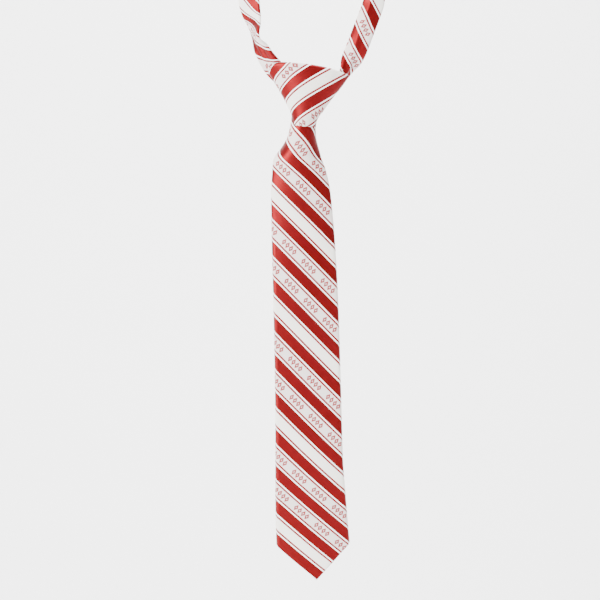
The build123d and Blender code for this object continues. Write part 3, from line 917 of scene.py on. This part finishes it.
tunnel_pass = strip_in_knot("knot_tunnel_pass_cloth", "knot_tunnel_pass", 34, 9)
tail_core = strip_in_knot("knot_tail_core_cloth", "knot_tail_core", 18, 8)

# ---------------------------------------------------------------- neck band

JOIN_TURN = radians(38)
FELT_INSET = 2.0
FELT_THICK = 0.8


def arch_point(turn):
    """Middle of the band on the arch; turn is 0 at the top and positive to the viewer's right."""
    return ARCH_RADIUS * sin(turn), ARCH_MIDDLE + ARCH_RADIUS * cos(turn)


join_x, join_z = arch_point(JOIN_TURN)
side_x, side_z = arch_point(radians(65))
# Down each strand: share of the way, x, y, height, turn of the width from the front view, width
STRANDS = {
    "left": (
        (0.0, -join_x, 0, join_z, -90, 19.5),
        (0.16, -side_x, 0, side_z, -86, 19.5),
        (0.3, -56.6, 0, -53, -58, 19.5),
        (0.41, -54.7, 0, -70.5, -27, 19.5),
        (0.49, -52.8, 0.5, -81, -36, 19.5),
        (0.56, -50.6, 1.5, -89.5, -52, 19.0),
        (0.66, -48.4, 3, -103.4, -76, 18.0),
        (0.73, -44.0, 4, -112, -50, 17.5),
        (0.78, -40.8, 4, -118, -46, 18.0),
        (0.84, -37.0, 4, -124.1, -42, 19.0),
        (0.91, -31.0, 3.5, -131.5, -30, 18.0),
        (1.0, -22.0, 3.5, -140, -15, 15.0),
    ),
    "right": (
        (0.0, join_x, 0, join_z, 90, 19.5),
        (0.16, side_x, 0, side_z, 84, 19.5),
        (0.3, 57.2, 0, -52, 56, 19.5),
        (0.41, 53.7, -0.5, -70.5, 20, 19.5),
        (0.49, 50.2, -1, -81, 12, 19.6),
        (0.6, 44.1, -1, -96.4, 8, 20.0),
        (0.73, 37.6, 0, -113.7, 10, 20.0),
        (0.81, 33.9, 1.5, -124.1, 34, 19.0),
        (0.88, 29.8, 3, -132.8, 66, 15.0),
        (1.0, 21.0, 4, -143, 60, 12.0),
    ),
}
# The right strand is pressed into a lengthwise ridge near its inner edge
RIDGE = {"left": (0.0, 0.0), "right": (0.36, 42.0)}  # share of the width, degrees


def strand_section(side, share):
    """Middle, across, front and width of a strand at a share of its way down."""
    x, y, z, turn, width = through(STRANDS[side], share)
    step = 0.004
    before = Vector(through(STRANDS[side], max(0, share - step))[:3])
    after = Vector(through(STRANDS[side], min(1, share + step))[:3])
    way = (after - before).normalized()
    level = Vector((-way.z, 0, way.x)).normalized()
    back = way.cross(level)
    if back.y < 0:
        back = -back
    across = level * cos(radians(turn)) + back * sin(radians(turn))
    return Vector((x, y, z)), across.normalized(), way.cross(across).normalized(), width


def ridge_bend(aside, width, side, share):
    """Turns the strip's inner edge to the back along a lengthwise ridge."""
    where, angle = RIDGE[side]
    fade = min(1, max(0, (share - 0.25) / 0.12))
    if not angle or not fade:
        return aside, 0
    line = -width / 2 + where * width
    if aside >= line:
        return aside, 0
    past = line - aside
    turned = radians(angle * fade)
    return line - past * cos(turned), -past * sin(turned)


# Pattern along each strand: share of the way down, mm of pattern; the left strand's cloth is
# rolled and leans back, so its pattern looks smaller
STRAND_RUN = {
    "left": (
        (0, -70), (0.3, -30), (0.41, -12), (0.49, 0), (0.62, 31.7), (0.755, 47.5), (0.87, 63.4), (1, 85),
    ),
    "right": ((0, -60), (0.583, 31.7), (1, 98)),
}
# How much of the pattern goes on each mm of the strand's width
STRAND_SPREAD = {"left": ((0, 1.5), (0.55, 1.5), (0.72, 1.0), (1, 0.9)), "right": ((0, 1), (1, 1))}


def band_section(layer, share, width):
    """Arc length and section point of the band's shell, or of the felt that lies flat in it."""
    if layer == "shell":
        return round_fold(share, width, BAND_DEPTH)
    aside = share * (width / 2 - FELT_INSET)
    return aside, aside, 0


def strand_cloth(side, layer, thickness, columns):
    """The folded cloth of one strand, or its interlining when it is a flat layer."""

    def place(across_share, along):
        middle, across, front, width = strand_section(side, along)
        s, aside, forward = band_section(layer, 2 * across_share - 1, width)
        turned_aside, back = ridge_bend(aside, width, side, along)
        crease = 0.35 * sin(aside * 0.9 + along * 3) * min(1, max(0, (along - 0.6) / 0.1))
        point = middle + across * turned_aside + front * (forward + back + crease)
        return point, s * through(STRAND_SPREAD[side], along)[0], through(STRAND_RUN[side], along)[0]

    return cloth_grid(f"neck_band_{side}_{layer}_cloth", columns, 120, place, thickness)


for side in STRANDS:
    shell = strand_cloth(side, "shell", CLOTH_THICK, 40)
    felt = strand_cloth(side, "interlining", FELT_THICK, 12)
    for piece in (shell, felt):
        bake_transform(piece)
    finish_piece(shell, STRIPE, nodes=[f"neck_band_{side}_shell"])
    finish_piece(felt, FELT, nodes=[f"neck_band_{side}_interlining"])


def arch_cloth(name, layer, thickness, columns):
    """The back panel of the neck band between its two joins."""

    def place(across_share, along):
        turn = JOIN_TURN * (2 * along - 1)
        s, aside, forward = band_section(layer, 2 * across_share - 1, BAND_WIDTH)
        x, z = arch_point(turn)
        out = Vector((sin(turn), 0, cos(turn)))
        point = Vector((x, 0, z)) + out * forward + Vector((0, 1, 0)) * aside
        return point, s, ARCH_RADIUS * turn

    return cloth_grid(name, columns, 60, place, thickness)


arch_shell = arch_cloth("neck_band_back_cloth", "shell", CLOTH_THICK, 40)
arch_felt = arch_cloth("neck_band_back_felt", "interlining", FELT_THICK, 12)
finish_piece(arch_shell, STRIPE, "neck_loop", ["neck_band_back_shell"])
finish_piece(arch_felt, FELT, "neck_loop", ["neck_band_back_interlining"])

THREAD_OUT = BAND_DEPTH / 2 + 0.2


def join_spots():
    """Thread beads across the band at both joins, on its outer side."""
    for side in (-1, 1):
        turn = side * JOIN_TURN
        x, z = arch_point(turn)
        out = Vector((sin(turn), 0, cos(turn)))
        for step in range(-6, 7):
            yield Vector((x, step * BAND_WIDTH / 13.4, z)) + out * THREAD_OUT, (0, 1, 0), out


def band_spots():
    """Slip stitches along the centre seam, on the inner side of the arch."""
    for step in (-4, -3, -2, -1, 1, 2, 3, 4):
        turn = radians(step * 9)
        x, z = arch_point(turn)
        out = Vector((sin(turn), 0, cos(turn)))
        yield Vector((x, 0, z)) - out * THREAD_OUT, (0.35 * cos(turn), 1, 0), -out


stitches("neck_band_join_thread", join_spots(), (1.7, 0.5), "neck_loop", "neck_band_join_seams")
stitches(
    "neck_band_slip_stitch_thread", band_spots(), (2.2, 0.5), "neck_loop", "neck_band_slip_stitches"
)

# ---------------------------------------------------------------- studio


def backdrop():
    """A pale seamless sweep, in metres, from the floor below the tie up behind it."""
    bm = bmesh.new()
    bmesh.ops.create_grid(bm, x_segments=4, y_segments=40, size=0.5)
    floor_z, wall_y, bend = -0.66, 1.2, 0.8
    width, length, ahead = 12, 9, 4
    for vert in bm.verts:
        run = (vert.co.y + 0.5) * length - ahead
        if run < 0:
            y, z = run, 0
        elif run < bend * pi / 2:
            y, z = bend * sin(run / bend), bend * (1 - cos(run / bend))
        else:
            y, z = bend, bend + run - bend * pi / 2
        vert.co = (vert.co.x * width, y + wall_y - bend, z + floor_z)
    sweep = object_from("studio_sweep", bm)
    material, tree = new_material("matt white studio paper")
    paper = add(tree, "ShaderNodeBsdfPrincipled", {"Base Color": colour("#FFFFFF"), "Roughness": 0.95})
    # From behind, the paper is clear, so that the back of the tie can be seen
    side = add(tree, "ShaderNodeNewGeometry")
    clear = add(tree, "ShaderNodeBsdfTransparent")
    shader = add(tree, "ShaderNodeMixShader", {0: side.outputs["Backfacing"], 1: paper, 2: clear})
    add(tree, "ShaderNodeOutputMaterial", {"Surface": shader})
    sweep.data.materials.append(material)


def studio_air(strength):
    """Even white light from all round."""
    world = bpy.data.worlds.new("studio_light")
    world.use_nodes = True
    ground = world.node_tree.nodes["Background"]
    ground.inputs["Color"].default_value = (1, 1, 1, 1)
    ground.inputs["Strength"].default_value = strength
    bpy.context.scene.world = world


def studio_lamp(name, where, aim, power, width):
    """A square soft light at a place, turned to what it lights; the camera doesn't see it."""
    lamp = bpy.data.lights.new(name, "AREA")
    lamp.energy = power
    lamp.size = width
    holder = bpy.data.objects.new(name, lamp)
    holder.location = where
    holder.rotation_euler = (Vector(aim) - Vector(where)).to_track_quat("-Z", "Y").to_euler()
    holder.visible_camera = False
    bpy.context.scene.collection.objects.link(holder)


def studio_camera(name, where, focal_length):
    """A level camera that looks along Y, with a lens length in millimetres."""
    lens = bpy.data.cameras.new(name)
    lens.lens = focal_length
    lens.sensor_width = 36
    camera = bpy.data.objects.new(name, lens)
    camera.location = where
    camera.rotation_euler = (pi / 2, 0, 0)
    bpy.context.scene.collection.objects.link(camera)
    bpy.context.scene.camera = camera


backdrop()
studio_air(0.66)
TIE = (-0.01, 0, -0.33)
PAPER = (0, 1.2, -0.35)
studio_lamp("key_light", (-1.5, -1.4, 0.3), TIE, 105, 0.8)
studio_lamp("fill_light", (1.5, -1.6, 0.0), TIE, 2, 1.2)
studio_lamp("top_light", (0.1, -0.3, 1.2), TIE, 8, 0.8)
studio_lamp("back_light", (0.15, 0.8, 1.0), TIE, 7, 0.8)
# The paper behind the tie is lit by itself, from above
studio_lamp("paper_light", (0, 0.1, 1.1), PAPER, 80, 1.2)
studio_camera("camera", (-0.0104, -2.5, -0.330), 173.4)
